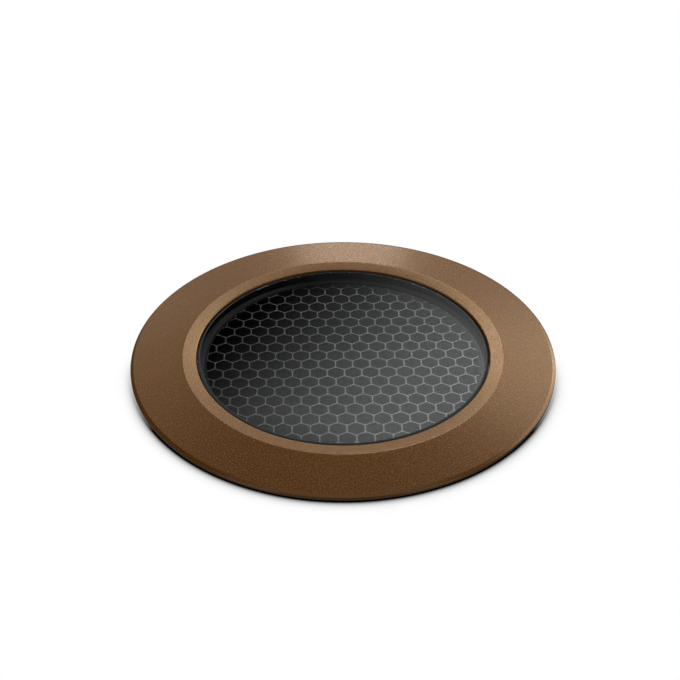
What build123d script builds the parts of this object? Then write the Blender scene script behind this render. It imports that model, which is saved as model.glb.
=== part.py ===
from build123d import *
import os
from math import hypot, sqrt

# Recessed in-ground uplight: a bronze trim ring screws onto a buried housing and clamps a
# stepped glass lens. Under the lens sit a honeycomb louver and a lamp that pans and tilts.
# Millimetres. The origin is the centre of the flange's underside, at ground level; +Z is up.

os.makedirs("parts", exist_ok=True)

# Trim ring
aperture_radius = 41.5
ring_width = 4.0
cone_width = 14.5
flange_edge = 1.3
crest_height = 2.7
ring_drop = 0.3
lip_thickness = 1.8
lip_overlap = 4.2
edge_round = 0.9
aperture_round = 0.3

# Lens and its washers
lens_gap = 0.3
lens_recess = 0.3
lens_thickness = 5.0
lens_arris = 0.6
lens_rim_gap = 0.4
slip_washer_thickness = 0.8
slip_washer_gap = 0.4
seat_gasket_thickness = 2.0
seat_gasket_gap = 0.3

# Split ring that keeps the lens in the trim
snap_ring_thickness = 0.7
snap_ring_reach = 1.0
snap_groove_depth = 0.8
snap_side_gap = 0.15
snap_split = 8.0
groove_gap = 0.05

# Screwed collar between the trim and the housing
thread_pitch = 1.5
thread_turns = 4
thread_clearance = 0.1
thread_runout = 1.6
shoulder_width = 2.4
shoulder_gap = 0.3
skirt_wall = 2.4
collar_step = 2.0

# Honeycomb louver
louver_gap = 0.9
louver_height = 12.0
louver_frame_wall = 2.0
louver_clearance = 0.3
core_depth = 10.0
core_lip = 1.2
core_clearance = 0.05
core_rim = 0.6
cell_width = 4.88
cell_row_step = 4.06
cell_wall = 0.55
cell_shift_across = 0.25
cell_shift_along = 1.9
louver_turn = -58.4

# Housing
housing_wall = 3.0
ledge_width = 2.3
ledge_height = 2.5
swivel_step = 1.0
stop_width = 4.0
stop_height = 4.0
stop_reach = 4.0
boss_radius = 4.2
boss_height = 14.0
boss_inset = 3.2
base_screw_count = 4
base_screw_angle = 45.0

# Lamp head
lamp_headroom = 5.7
bezel_outer_radius = 24.0
bezel_wall = 3.8
bezel_lip_thickness = 1.5
bezel_lip_width = 1.6
optic_thickness = 1.5
optic_clearance = 0.3
reflector_height = 10.0
reflector_wall = 0.8
reflector_throat = 8.5
led_board_gap = 1.2
led_board_thickness = 1.6
led_board_screw_inset = 3.5
emitter_radius = 6.5
emitter_thickness = 1.0
sink_plate_thickness = 5.0
sink_core_radius = 9.0
fin_count = 16
fin_thickness = 1.6
fin_height = 16.0
fin_inset = 1.0

# Swivel ring, pivots and the lead on the swivel axis
pivot_boss_radius = 4.5
pivot_drop = 0.3
pivot_shoulder_radius = 2.5
pivot_thread_radius = 2.0
pivot_thread_length = 7.5
pivot_head_radius = 3.8
pivot_head_height = 3.0
pivot_head_sink = 1.2
pivot_socket_radius = 1.5
pivot_socket_depth = 1.6
friction_washer_thickness = 0.8
friction_washer_radius = 4.3
swivel_ring_wall = 8.7
swivel_ring_height = 9.6
swivel_clearance = 0.3
swivel_top_gap = 0.2
pad_depth = 1.5
pad_width = 12.0
circlip_thickness = 1.5
circlip_width = 2.5
circlip_groove_depth = 0.9
circlip_split = 14.0
lead_radius = 2.0
lead_hole_radius = 3.0

# Driver on the base cover
tilt_room = 7.0
driver_board_gap = 1.6
driver_board_thickness = 1.6
standoff_height = 7.0
standoff_flats = 6.0
standoff_inset = 5.7
standoff_count = 4
standoff_angle = 45.0
transformer_height = 14.0
transformer_length = 20.0
transformer_width = 16.0
transformer_gap = 5.5
core_leg = 4.0
bobbin_inset = 1.5
capacitor_radius = 5.0
capacitor_height = 12.0
capacitor_gap = 6.0
capacitor_spacing = 14.0
capacitor_seal_radius = 4.2
capacitor_seal_height = 0.8
choke_radius = 6.0
choke_height = 9.0
choke_inset = 4.0
choke_flange = 1.5
choke_winding_radius = 4.8
terminal_length = 21.0
terminal_width = 9.0
terminal_height = 10.0
terminal_inset = 5.5
terminal_ways = 3
terminal_screw_radius = 2.0
terminal_screw_depth = 3.0
terminal_mouth = 4.0
socket_size = 9.0
socket_height = 8.0

# Base cover, gasket and cable gland
base_gasket_thickness = 1.5
base_gasket_width = 7.6
base_cover_thickness = 4.0
base_cover_inset = 0.5
gland_thread_radius = 6.0
gland_hex_flats = 17.0
gland_hex_height = 5.0
gland_tail_radius = 6.5
gland_tail_length = 7.0
gland_way_radius = 4.6
gland_top_proud = 0.5
gland_seat_height = 1.0
locknut_height = 3.5
seal_radius = 5.0
cable_radius = 3.5
cap_wall_end = 2.0
cap_gap = 0.8
cap_hole_gap = 1.0
gland_o_ring_width = 1.6
gland_o_ring_height = 1.0
gland_o_ring_gap = 0.3

# Small screws share these proportions
small_screw_radius = 1.25
small_head_radius = 2.2
small_head_height = 1.6
base_screw_radius = 2.0
base_head_radius = 3.5
base_head_height = 2.4
hex_socket_share = 0.5
screw_clearance = 0.05
hole_clearance = 0.3

# Heights, from the trim downwards
aperture_z = crest_height - ring_drop
lip_z = aperture_z - lip_thickness
lens_top = aperture_z - lens_recess
lens_step = lip_z - slip_washer_thickness
lens_bottom = lens_top - lens_thickness
housing_top = lens_bottom - seat_gasket_thickness
shoulder_z = housing_top + shoulder_gap
snap_top = lens_bottom - snap_side_gap
snap_bottom = snap_top - snap_ring_thickness
thread_engagement = thread_pitch * thread_turns
skirt_bottom = housing_top - thread_engagement
collar_bottom = skirt_bottom - thread_runout
louver_top = lens_bottom - louver_gap
louver_seat = louver_top - louver_height
core_bottom = louver_top - core_depth
ledge_bottom = louver_seat - ledge_height
bezel_top = ledge_bottom - lamp_headroom
optic_top = bezel_top - bezel_lip_thickness
reflector_top = optic_top - optic_thickness
led_board_top = reflector_top - reflector_height
sink_top = led_board_top - led_board_thickness
plate_bottom = sink_top - sink_plate_thickness
pivot_z = sink_top - pivot_boss_radius - pivot_drop
fin_bottom = plate_bottom - fin_height
swivel_top = pivot_z + swivel_ring_height / 2
swivel_bottom = pivot_z - swivel_ring_height / 2
swivel_shoulder = swivel_top + swivel_top_gap
circlip_bottom = swivel_bottom - circlip_thickness
driver_top = fin_bottom - tilt_room
driver_board_top = driver_top - transformer_height
driver_board_bottom = driver_board_top - driver_board_thickness
cover_top = driver_board_bottom - standoff_height
housing_bottom = cover_top + base_gasket_thickness
cover_bottom = cover_top - base_cover_thickness
gland_hex_bottom = cover_bottom - gland_hex_height
gland_tail_bottom = gland_hex_bottom - gland_tail_length
gland_top = cover_top + locknut_height + gland_top_proud
seal_top = gland_hex_bottom - gland_seat_height
cap_top = gland_hex_bottom - cap_gap
cap_seat = gland_tail_bottom - screw_clearance
cap_bottom = cap_seat - cap_wall_end

# Radii, from the aperture outwards
crest_radius = aperture_radius + ring_width
flange_radius = crest_radius + cone_width
lens_boss_radius = aperture_radius - lens_gap
pocket_radius = aperture_radius + lip_overlap
lens_rim_radius = pocket_radius - lens_rim_gap
snap_groove_radius = pocket_radius + snap_groove_depth
snap_inner_radius = pocket_radius - snap_ring_reach
thread_bore = pocket_radius + shoulder_width
collar_radius = thread_bore - thread_clearance
skirt_radius = thread_bore + skirt_wall
louver_frame_radius = aperture_radius
louver_bore = louver_frame_radius - louver_frame_wall
core_radius = louver_bore - core_clearance
mouth_radius = louver_frame_radius + louver_clearance
seat_gasket_inner = mouth_radius + seat_gasket_gap
seat_gasket_outer = snap_inner_radius - seat_gasket_gap
ledge_radius = mouth_radius - ledge_width
body_radius = collar_radius - collar_step
housing_bore = body_radius - housing_wall
chamber_radius = housing_bore - swivel_step
boss_circle = housing_bore - boss_inset
swivel_outer_radius = housing_bore - swivel_clearance
swivel_inner_radius = swivel_outer_radius - swivel_ring_wall
pad_face = swivel_inner_radius - pad_depth
pivot_boss_reach = pad_face - friction_washer_thickness
pivot_head_seat = swivel_outer_radius - pivot_head_sink - pivot_head_height
circlip_groove_radius = housing_bore + circlip_groove_depth
circlip_outer_radius = circlip_groove_radius - groove_gap
circlip_inner_radius = housing_bore - circlip_width
bezel_inner_radius = bezel_outer_radius - bezel_wall
bezel_lip_radius = bezel_inner_radius - bezel_lip_width
optic_radius = bezel_inner_radius - optic_clearance
bezel_screw_circle = bezel_outer_radius - bezel_wall / 2
led_board_radius = bezel_inner_radius - led_board_gap
led_board_screw_circle = led_board_radius - led_board_screw_inset
fin_radius = bezel_outer_radius - fin_inset
base_cover_radius = body_radius - base_cover_inset
driver_board_radius = boss_circle - boss_radius - driver_board_gap

# Places on the driver board, from its rim inwards and from its middle outwards
standoff_circle = driver_board_radius - standoff_inset
choke_y = driver_board_radius - choke_inset - choke_radius
terminal_y = -(driver_board_radius - terminal_inset - terminal_width / 2)
transformer_x = -(socket_size / 2 + transformer_gap + transformer_width / 2)
capacitor_x = socket_size / 2 + capacitor_gap + capacitor_radius
capacitor_y = capacitor_spacing / 2

# Housing: thread collar, louver mouth, lamp chamber, swivel bore and base screw bosses
with BuildPart() as housing:
    with BuildSketch(Plane.XZ):
        with BuildLine():
            Polyline(
                (mouth_radius, housing_top),
                (collar_radius, housing_top),
                (collar_radius, collar_bottom),
                (body_radius, collar_bottom - collar_step),
                (body_radius, housing_bottom),
                (housing_bore, housing_bottom),
                (housing_bore, circlip_bottom - groove_gap),
                (circlip_groove_radius, circlip_bottom - groove_gap),
                (circlip_groove_radius, swivel_bottom),
                (housing_bore, swivel_bottom),
                (housing_bore, swivel_shoulder),
                (chamber_radius, swivel_shoulder),
                (chamber_radius, ledge_bottom),
                (ledge_radius, ledge_bottom),
                (ledge_radius, louver_seat),
                (mouth_radius, louver_seat),
                close=True,
            )
        make_face()
    revolve(axis=Axis.Z)
    with BuildSketch(Plane.XY.offset(housing_bottom)):
        with PolarLocations(boss_circle, base_screw_count, start_angle=base_screw_angle):
            Circle(boss_radius)
        Circle(body_radius - housing_wall / 2, mode=Mode.INTERSECT)
    extrude(amount=boss_height)
    with BuildSketch(Plane.XY.offset(housing_bottom)):
        with PolarLocations(boss_circle, base_screw_count, start_angle=base_screw_angle):
            Circle(base_screw_radius + screw_clearance)
    extrude(amount=boss_height - housing_wall, mode=Mode.SUBTRACT)
    with BuildSketch(Plane.XY.offset(swivel_shoulder)):
        with Locations((0, -chamber_radius)):
            Rectangle(stop_width, 2 * stop_reach)
        Circle(body_radius - housing_wall / 2, mode=Mode.INTERSECT)
    extrude(amount=stop_height)
housing.part.label = "housing"
export_step(housing.part, "parts/housing.step")

# Silicone gasket that the lens is pressed onto
with BuildPart() as seat_gasket:
    with BuildSketch(Plane.XY.offset(housing_top)):
        Circle(seat_gasket_outer)
        Circle(seat_gasket_inner, mode=Mode.SUBTRACT)
    extrude(amount=seat_gasket_thickness)
seat_gasket.part.label = "seat_gasket"
export_step(seat_gasket.part, "parts/seat_gasket.step")

# Trim ring: conical flange, raised inner ring, lens pocket with its groove, and thread skirt
with BuildPart() as trim_ring:
    with BuildSketch(Plane.XZ):
        with BuildLine():
            Polyline(
                (aperture_radius, lip_z),
                (pocket_radius, lip_z),
                (pocket_radius, snap_top + groove_gap),
                (snap_groove_radius, snap_top + groove_gap),
                (snap_groove_radius, snap_bottom - groove_gap),
                (pocket_radius, snap_bottom - groove_gap),
                (pocket_radius, shoulder_z),
                (thread_bore, shoulder_z),
                (thread_bore, skirt_bottom),
                (skirt_radius, skirt_bottom),
                (skirt_radius, 0),
                (flange_radius, 0),
                (flange_radius, flange_edge),
                (crest_radius, crest_height),
                (aperture_radius, aperture_z),
                close=True,
            )
        make_face()
    revolve(axis=Axis.Z)
    rims = trim_ring.edges().filter_by(GeomType.CIRCLE).group_by(SortBy.RADIUS)
    fillet(rims[-1].sort_by(Axis.Z)[-1], edge_round)
    fillet(rims[0].sort_by(Axis.Z)[-1], aperture_round)
trim_ring.part.label = "trim_ring"
export_step(trim_ring.part, "parts/trim_ring.step")

# Split ring in the pocket groove, which keeps the lens in the trim when it is unscrewed
with BuildPart() as snap_ring:
    with BuildSketch(Plane.XY.offset(snap_bottom)):
        Circle(snap_groove_radius - 2 * groove_gap)
        Circle(snap_inner_radius, mode=Mode.SUBTRACT)
        with Locations((snap_inner_radius, 0)):
            Rectangle(2 * snap_groove_depth + 2 * snap_ring_reach, snap_split, mode=Mode.SUBTRACT)
    extrude(amount=snap_ring_thickness)
snap_ring.part.label = "snap_ring"
export_step(snap_ring.part, "parts/snap_ring.step")

# Stepped glass lens: the rim is held under the trim's lip and the boss fills the aperture
with BuildPart() as lens:
    with BuildSketch(Plane.XY.offset(lens_bottom)):
        Circle(lens_rim_radius)
    extrude(amount=lens_step - lens_bottom)
    with BuildSketch(Plane.XY.offset(lens_step)):
        Circle(lens_boss_radius)
    extrude(amount=lens_top - lens_step)
    chamfer(lens.edges().sort_by(Axis.Z)[-1], lens_arris)
lens.part.label = "lens"
export_step(lens.part, "parts/lens.step")

# Washer between the lens rim and the trim's lip, on which the trim turns
with BuildPart() as slip_washer:
    with BuildSketch(Plane.XY.offset(lens_step)):
        Circle(lens_rim_radius)
        Circle(lens_boss_radius + slip_washer_gap, mode=Mode.SUBTRACT)
    extrude(amount=slip_washer_thickness)
slip_washer.part.label = "slip_washer"
export_step(slip_washer.part, "parts/slip_washer.step")

# Louver frame: a ring on the housing ledge, with a lip under the honeycomb
with BuildPart() as louver_frame:
    with BuildSketch(Plane.XZ):
        with BuildLine():
            Polyline(
                (louver_bore - core_lip, louver_seat),
                (louver_frame_radius, louver_seat),
                (louver_frame_radius, louver_top),
                (louver_bore, louver_top),
                (louver_bore, core_bottom),
                (louver_bore - core_lip, core_bottom),
                close=True,
            )
        make_face()
    revolve(axis=Axis.Z)
louver_frame.part.label = "louver_frame"
export_step(louver_frame.part, "parts/louver_frame.step")

# Honeycomb: rows of hexagonal cells, pulled a little wide, with walls of one thickness in a thin rim
row_count = int(core_radius / cell_row_step) + 2
column_count = int(core_radius / cell_width) + 2
cell_centres = []
for row in range(-row_count, row_count + 1):
    for column in range(-column_count, column_count + 1):
        across = (column + 0.5 + 0.5 * (row % 2)) * cell_width + cell_shift_across
        along = row * cell_row_step + cell_shift_along
        if hypot(across, along) < core_radius + cell_width / 2:
            cell_centres.append((across, along))
with BuildSketch() as honeycomb_cell:
    Polygon(
        (cell_width / 2, cell_row_step / 3),
        (0, 2 * cell_row_step / 3),
        (-cell_width / 2, cell_row_step / 3),
        (-cell_width / 2, -cell_row_step / 3),
        (0, -2 * cell_row_step / 3),
        (cell_width / 2, -cell_row_step / 3),
    )
    offset(amount=-cell_wall / 2, kind=Kind.INTERSECTION)
with BuildSketch() as honeycomb_cells:
    with Locations(*cell_centres):
        add(honeycomb_cell.sketch)
    Circle(core_radius - core_rim, mode=Mode.INTERSECT)
with BuildPart() as honeycomb_louver:
    with BuildSketch(Plane.XY.offset(core_bottom).rotated((0, 0, louver_turn))):
        Circle(core_radius)
        add(honeycomb_cells.sketch, mode=Mode.SUBTRACT)
    extrude(amount=core_depth)
honeycomb_louver.part.label = "honeycomb_louver"
export_step(honeycomb_louver.part, "parts/honeycomb_louver.step")

# Swivel ring: turns in the housing bore and carries the tilt pivots on two flat pads
with BuildPart() as swivel_ring:
    with BuildSketch(Plane.XY.offset(swivel_bottom)):
        Circle(swivel_outer_radius)
        Circle(swivel_inner_radius, mode=Mode.SUBTRACT)
    extrude(amount=swivel_ring_height)
    with BuildSketch(Plane.XY.offset(swivel_bottom)):
        with Locations((pad_face, 0)):
            Rectangle(2 * pad_depth + pad_depth, pad_width, align=(Align.MIN, Align.CENTER))
        with Locations((-pad_face, 0)):
            Rectangle(2 * pad_depth + pad_depth, pad_width, align=(Align.MAX, Align.CENTER))
    extrude(amount=swivel_ring_height)
    with BuildSketch(Plane.XY.offset(swivel_top)):
        with Locations((0, chamber_radius - swivel_clearance)):
            Rectangle(stop_width, stop_reach, align=(Align.CENTER, Align.MAX))
        Circle(chamber_radius - swivel_clearance, mode=Mode.INTERSECT)
    extrude(amount=stop_height)
    with BuildSketch(Plane.YZ.offset(-swivel_outer_radius)):
        with Locations((0, pivot_z)):
            Circle(pivot_shoulder_radius + screw_clearance)
    extrude(amount=2 * swivel_outer_radius, mode=Mode.SUBTRACT)
    with BuildSketch(Plane.YZ.offset(pivot_head_seat), Plane.YZ.offset(-pivot_head_seat)) as sinks:
        with Locations((0, pivot_z)):
            Circle(pivot_head_radius + hole_clearance)
    extrude(sinks.sketch.faces().sort_by(Axis.X)[-1], amount=swivel_ring_wall, mode=Mode.SUBTRACT)
    extrude(sinks.sketch.faces().sort_by(Axis.X)[0], amount=-swivel_ring_wall, mode=Mode.SUBTRACT)
swivel_ring.part.label = "swivel_ring"
export_step(swivel_ring.part, "parts/swivel_ring.step")

# Circlip under the swivel ring
with BuildPart() as swivel_circlip:
    with BuildSketch(Plane.XY.offset(circlip_bottom)):
        Circle(circlip_outer_radius)
        Circle(circlip_inner_radius, mode=Mode.SUBTRACT)
        with Locations((0, circlip_inner_radius)):
            Rectangle(circlip_split, 4 * circlip_width, mode=Mode.SUBTRACT)
    extrude(amount=circlip_thickness)
swivel_circlip.part.label = "swivel_circlip"
export_step(swivel_circlip.part, "parts/swivel_circlip.step")

# Heat sink: plate, finned core and the cross boss that takes the tilt pivots
fin_gap_angle = 180 / fin_count
bezel_screw_count = 4
bezel_screw_angle = 360 / bezel_screw_count / 2 - fin_gap_angle
with BuildPart() as heat_sink:
    with BuildSketch(Plane.XY.offset(plate_bottom)):
        Circle(bezel_outer_radius)
    extrude(amount=sink_plate_thickness)
    with BuildSketch(Plane.XY.offset(fin_bottom)):
        Circle(sink_core_radius)
        with PolarLocations(fin_radius / 2, fin_count):
            Rectangle(fin_radius, fin_thickness)
    extrude(amount=fin_height)
    with BuildSketch(Plane.YZ.offset(-pivot_boss_reach)):
        with Locations((0, pivot_z)):
            Circle(pivot_boss_radius)
    extrude(amount=2 * pivot_boss_reach)
    with BuildSketch(Plane.YZ.offset(pivot_boss_reach), Plane.YZ.offset(-pivot_boss_reach)) as taps:
        with Locations((0, pivot_z)):
            Circle(pivot_thread_radius + screw_clearance)
    tap_depth = pivot_thread_length + hole_clearance
    extrude(taps.sketch.faces().sort_by(Axis.X)[-1], amount=-tap_depth, mode=Mode.SUBTRACT)
    extrude(taps.sketch.faces().sort_by(Axis.X)[0], amount=tap_depth, mode=Mode.SUBTRACT)
    with BuildSketch(Plane.XY.offset(fin_bottom)):
        Circle(lead_hole_radius)
    extrude(amount=sink_top - fin_bottom, mode=Mode.SUBTRACT)
    with BuildSketch(Plane.XY.offset(plate_bottom)):
        with PolarLocations(bezel_screw_circle, bezel_screw_count, start_angle=bezel_screw_angle):
            Circle(small_screw_radius + screw_clearance)
    extrude(amount=sink_plate_thickness, mode=Mode.SUBTRACT)
    with BuildSketch(Plane.XY.offset(sink_top)):
        with PolarLocations(led_board_screw_circle, 2, start_angle=90):
            Circle(small_screw_radius + screw_clearance)
    extrude(amount=-sink_plate_thickness, mode=Mode.SUBTRACT)
heat_sink.part.label = "heat_sink"
export_step(heat_sink.part, "parts/heat_sink.step")

# Board that carries the light source
with BuildPart() as led_board:
    with BuildSketch(Plane.XY.offset(sink_top)):
        Circle(led_board_radius)
        with PolarLocations(led_board_screw_circle, 2, start_angle=90):
            Circle(small_screw_radius + screw_clearance, mode=Mode.SUBTRACT)
    extrude(amount=led_board_thickness)
led_board.part.label = "led_board"
export_step(led_board.part, "parts/led_board.step")

# Light source: a round emitter on a square substrate
with BuildPart() as led_emitter:
    with BuildSketch(Plane.XY.offset(led_board_top)):
        Rectangle(2 * emitter_radius / sqrt(2), 2 * emitter_radius / sqrt(2))
        Circle(emitter_radius)
    extrude(amount=emitter_thickness / 2)
    with BuildSketch(Plane.XY.offset(led_board_top + emitter_thickness / 2)):
        Circle(emitter_radius / sqrt(2))
    extrude(amount=emitter_thickness / 2)
led_emitter.part.label = "led_emitter"
export_step(led_emitter.part, "parts/led_emitter.step")

# Screws that hold the board to the heat sink
with BuildPart() as led_board_screws:
    with BuildSketch(Plane.XY.offset(led_board_top)):
        with PolarLocations(led_board_screw_circle, 2, start_angle=90):
            Circle(small_head_radius)
    extrude(amount=small_head_height)
    with BuildSketch(Plane.XY.offset(led_board_top)):
        with PolarLocations(led_board_screw_circle, 2, start_angle=90):
            Circle(small_screw_radius)
    extrude(amount=-(led_board_thickness + sink_plate_thickness / 2))
    with BuildSketch(Plane.XY.offset(led_board_top + small_head_height)):
        with PolarLocations(led_board_screw_circle, 2, start_angle=90):
            RegularPolygon(small_head_radius * hex_socket_share, 6)
    extrude(amount=-small_head_height / 2, mode=Mode.SUBTRACT)
led_board_screws.part.label = "led_board_screws"
export_step(led_board_screws.part, "parts/led_board_screws.step")

# Reflector: a thin parabolic cup from the board up to the optic
reflector_rim = optic_radius - reflector_wall
with BuildPart() as reflector:
    with BuildSketch(Plane.XZ):
        with BuildLine():
            bowl = Bezier(
                (reflector_throat, led_board_top),
                (reflector_throat, led_board_top + reflector_height / 4),
                (reflector_rim, led_board_top + reflector_height / 2),
                (reflector_rim, reflector_top),
            )
            Line(bowl @ 1, (optic_radius, reflector_top))
            outside = Bezier(
                (optic_radius, reflector_top),
                (optic_radius, led_board_top + reflector_height / 2),
                (reflector_throat + reflector_wall, led_board_top + reflector_height / 4),
                (reflector_throat + reflector_wall, led_board_top),
            )
            Line(outside @ 1, bowl @ 0)
        make_face()
    revolve(axis=Axis.Z)
reflector.part.label = "reflector"
export_step(reflector.part, "parts/reflector.step")

# Clear optic between the reflector's rim and the bezel's lip
with BuildPart() as lamp_optic:
    with BuildSketch(Plane.XY.offset(reflector_top)):
        Circle(optic_radius)
    extrude(amount=optic_thickness)
lamp_optic.part.label = "lamp_optic"
export_step(lamp_optic.part, "parts/lamp_optic.step")

# Bezel: closes the lamp head and clamps the optic
with BuildPart() as lamp_bezel:
    with BuildSketch(Plane.XZ):
        with BuildLine():
            Polyline(
                (bezel_inner_radius, sink_top),
                (bezel_outer_radius, sink_top),
                (bezel_outer_radius, bezel_top),
                (bezel_lip_radius, bezel_top),
                (bezel_lip_radius, optic_top),
                (bezel_inner_radius, optic_top),
                close=True,
            )
        make_face()
    revolve(axis=Axis.Z)
    with BuildSketch(Plane.XY.offset(sink_top)):
        with PolarLocations(bezel_screw_circle, bezel_screw_count, start_angle=bezel_screw_angle):
            Circle(small_screw_radius + screw_clearance)
    extrude(amount=reflector_height, mode=Mode.SUBTRACT)
lamp_bezel.part.label = "lamp_bezel"
export_step(lamp_bezel.part, "parts/lamp_bezel.step")

# Screws from under the heat sink's plate into the bezel
with BuildPart() as bezel_screws:
    with BuildSketch(Plane.XY.offset(plate_bottom)):
        with PolarLocations(bezel_screw_circle, bezel_screw_count, start_angle=bezel_screw_angle):
            Circle(small_head_radius)
    extrude(amount=-small_head_height)
    with BuildSketch(Plane.XY.offset(plate_bottom)):
        with PolarLocations(bezel_screw_circle, bezel_screw_count, start_angle=bezel_screw_angle):
            Circle(small_screw_radius)
    extrude(amount=sink_plate_thickness + reflector_height - hole_clearance)
    with BuildSketch(Plane.XY.offset(plate_bottom - small_head_height)):
        with PolarLocations(bezel_screw_circle, bezel_screw_count, start_angle=bezel_screw_angle):
            RegularPolygon(small_head_radius * hex_socket_share, 6)
    extrude(amount=small_head_height / 2, mode=Mode.SUBTRACT)
bezel_screws.part.label = "bezel_screws"
export_step(bezel_screws.part, "parts/bezel_screws.step")

# Shoulder screws on which the lamp head tilts, one from each side of the swivel ring
with BuildPart() as pivot_screws:
    with BuildSketch(Plane.XZ):
        with BuildLine():
            Polyline(
                (pivot_boss_reach - pivot_thread_length, pivot_z),
                (pivot_boss_reach - pivot_thread_length, pivot_z + pivot_thread_radius),
                (pivot_boss_reach, pivot_z + pivot_thread_radius),
                (pivot_boss_reach, pivot_z + pivot_shoulder_radius),
                (pivot_head_seat, pivot_z + pivot_shoulder_radius),
                (pivot_head_seat, pivot_z + pivot_head_radius),
                (pivot_head_seat + pivot_head_height, pivot_z + pivot_head_radius),
                (pivot_head_seat + pivot_head_height, pivot_z),
                close=True,
            )
        make_face()
    revolve(axis=Axis((0, 0, pivot_z), (1, 0, 0)))
    with BuildSketch(Plane.YZ.offset(pivot_head_seat + pivot_head_height)):
        with Locations((0, pivot_z)):
            RegularPolygon(pivot_socket_radius, 6)
    extrude(amount=-pivot_socket_depth, mode=Mode.SUBTRACT)
    mirror(about=Plane.YZ)
pivot_screws.part.label = "pivot_screws"
export_step(pivot_screws.part, "parts/pivot_screws.step")

# Friction washers between the lamp's pivot bosses and the ring's pads
with BuildPart() as friction_washers:
    with BuildSketch(Plane.YZ.offset(pivot_boss_reach)):
        with Locations((0, pivot_z)):
            Circle(friction_washer_radius)
            Circle(pivot_shoulder_radius + screw_clearance, mode=Mode.SUBTRACT)
    extrude(amount=friction_washer_thickness)
    mirror(about=Plane.YZ)
friction_washers.part.label = "friction_washers"
export_step(friction_washers.part, "parts/friction_washers.step")

# Lead on the swivel axis, from the driver's socket up to the light board
socket_top = driver_board_top + socket_height
with BuildPart() as lamp_lead:
    with BuildSketch(Plane.XY.offset(socket_top)):
        Circle(lead_radius)
    extrude(amount=sink_top - socket_top)
lamp_lead.part.label = "lamp_lead"
export_step(lamp_lead.part, "parts/lamp_lead.step")

# Socket that the lead plugs into
with BuildPart() as lead_socket:
    with BuildSketch(Plane.XY.offset(driver_board_top)):
        RectangleRounded(socket_size, socket_size, socket_size / 8)
    extrude(amount=socket_height)
lead_socket.part.label = "lead_socket"
export_step(lead_socket.part, "parts/lead_socket.step")

# Driver board on its standoffs
with BuildPart() as driver_board:
    with BuildSketch(Plane.XY.offset(driver_board_bottom)):
        Circle(driver_board_radius)
        with PolarLocations(standoff_circle, standoff_count, start_angle=standoff_angle):
            Circle(small_screw_radius + screw_clearance, mode=Mode.SUBTRACT)
    extrude(amount=driver_board_thickness)
driver_board.part.label = "driver_board"
export_step(driver_board.part, "parts/driver_board.step")

# Hexagonal standoffs between the base cover and the driver board
with BuildPart() as driver_standoffs:
    with BuildSketch(Plane.XY.offset(cover_top)):
        with PolarLocations(standoff_circle, standoff_count, start_angle=standoff_angle):
            RegularPolygon(standoff_flats / 2, 6, major_radius=False)
    extrude(amount=standoff_height)
    with BuildSketch(Plane.XY.offset(driver_board_bottom)):
        with PolarLocations(standoff_circle, standoff_count, start_angle=standoff_angle):
            Circle(small_screw_radius + screw_clearance)
    extrude(amount=-standoff_height / 2, mode=Mode.SUBTRACT)
driver_standoffs.part.label = "driver_standoffs"
export_step(driver_standoffs.part, "parts/driver_standoffs.step")

# Screws through the driver board into the standoffs
with BuildPart() as driver_board_screws:
    with BuildSketch(Plane.XY.offset(driver_board_top)):
        with PolarLocations(standoff_circle, standoff_count, start_angle=standoff_angle):
            Circle(small_head_radius)
    extrude(amount=small_head_height)
    with BuildSketch(Plane.XY.offset(driver_board_top)):
        with PolarLocations(standoff_circle, standoff_count, start_angle=standoff_angle):
            Circle(small_screw_radius)
    extrude(amount=-(driver_board_thickness + standoff_height / 2 - hole_clearance))
    with BuildSketch(Plane.XY.offset(driver_board_top + small_head_height)):
        with PolarLocations(standoff_circle, standoff_count, start_angle=standoff_angle):
            RegularPolygon(small_head_radius * hex_socket_share, 6)
    extrude(amount=-small_head_height / 2, mode=Mode.SUBTRACT)
driver_board_screws.part.label = "driver_board_screws"
export_step(driver_board_screws.part, "parts/driver_board_screws.step")

# Transformer: a core around a wound bobbin
with BuildPart() as transformer:
    with BuildSketch(Plane.XY.offset(driver_board_top)):
        with Locations((transformer_x, 0)):
            Rectangle(transformer_width - 2 * bobbin_inset, transformer_length)
    extrude(amount=transformer_height)
    with BuildSketch(Plane.XY.offset(driver_board_top + core_leg)):
        with Locations((transformer_x, 0)):
            Rectangle(transformer_width, transformer_length - 2 * core_leg)
    extrude(amount=transformer_height - 2 * core_leg)
transformer.part.label = "transformer"
export_step(transformer.part, "parts/transformer.step")

# Smoothing capacitors, each can on its rubber seal
with BuildPart() as capacitors:
    with BuildSketch(Plane.XY.offset(driver_board_top)):
        with Locations((capacitor_x, capacitor_y), (capacitor_x, -capacitor_y)):
            Circle(capacitor_seal_radius)
    extrude(amount=capacitor_seal_height)
    with BuildSketch(Plane.XY.offset(driver_board_top + capacitor_seal_height)):
        with Locations((capacitor_x, capacitor_y), (capacitor_x, -capacitor_y)):
            Circle(capacitor_radius)
    extrude(amount=capacitor_height - capacitor_seal_height)
capacitors.part.label = "capacitors"
export_step(capacitors.part, "parts/capacitors.step")

# Choke: a winding between the two flanges of a drum core
with BuildPart() as choke:
    with BuildSketch(Plane.XY.offset(driver_board_top)):
        with Locations((0, choke_y)):
            Circle(choke_winding_radius)
    extrude(amount=choke_height)
    with BuildSketch(
        Plane.XY.offset(driver_board_top),
        Plane.XY.offset(driver_board_top + choke_height - choke_flange),
    ):
        with Locations((0, choke_y)):
            Circle(choke_radius)
    extrude(amount=choke_flange)
choke.part.label = "choke"
export_step(choke.part, "parts/choke.step")

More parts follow.
